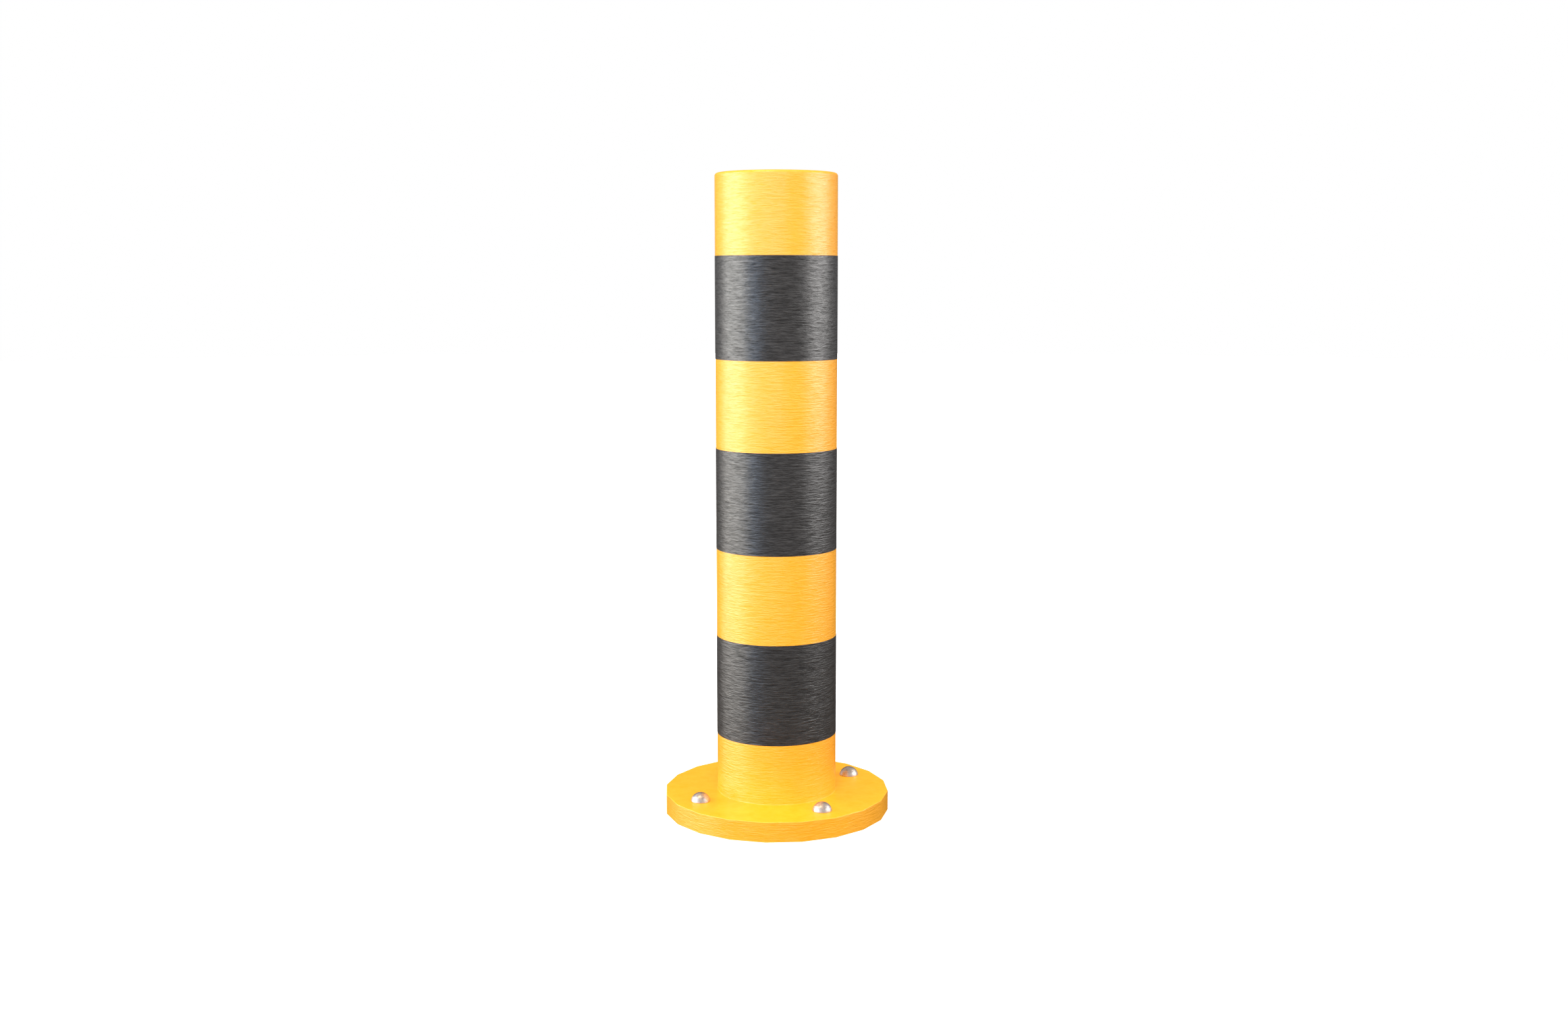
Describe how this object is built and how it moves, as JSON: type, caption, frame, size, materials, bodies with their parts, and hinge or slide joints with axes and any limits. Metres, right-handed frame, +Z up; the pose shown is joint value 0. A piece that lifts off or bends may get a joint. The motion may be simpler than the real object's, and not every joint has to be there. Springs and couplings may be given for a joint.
{
  "type": "safety bollard",
  "caption": "Round steel post with black bands on a thick many-sided base plate that bolts down under domed covers, to stop or guide vehicles.",
  "frame": {"origin": "centre of the base plate's underside, on the floor", "axes": "+Z up along the post; -Y is the front, and the four fixings lie on the X and Y axes"},
  "size_m": [0.318, 0.318, 0.892],
  "materials": {
    "yellow_paint": "semi-gloss powder coat with a fine ripple",
    "black_film": "semi-gloss vinyl film",
    "zinc_steel": "zinc plated",
    "stainless_steel": "satin polish"
  },
  "bodies": {
    "root": {"base_plate": "yellow_paint", "post_tube": "yellow_paint", "top_cap": "yellow_paint", "foot_weld": "yellow_paint", "cap_weld": "yellow_paint", "black_band_lower": "black_film", "black_band_middle": "black_film", "black_band_upper": "black_film", "washer_right": "zinc_steel", "washer_back": "zinc_steel", "washer_left": "zinc_steel", "washer_front": "zinc_steel", "hex_nut_right": "zinc_steel", "hex_nut_back": "zinc_steel", "hex_nut_left": "zinc_steel", "hex_nut_front": "zinc_steel", "dome_cover_right": "stainless_steel", "dome_cover_back": "stainless_steel", "dome_cover_left": "stainless_steel", "dome_cover_front": "stainless_steel"}
  },
  "joints": []
}
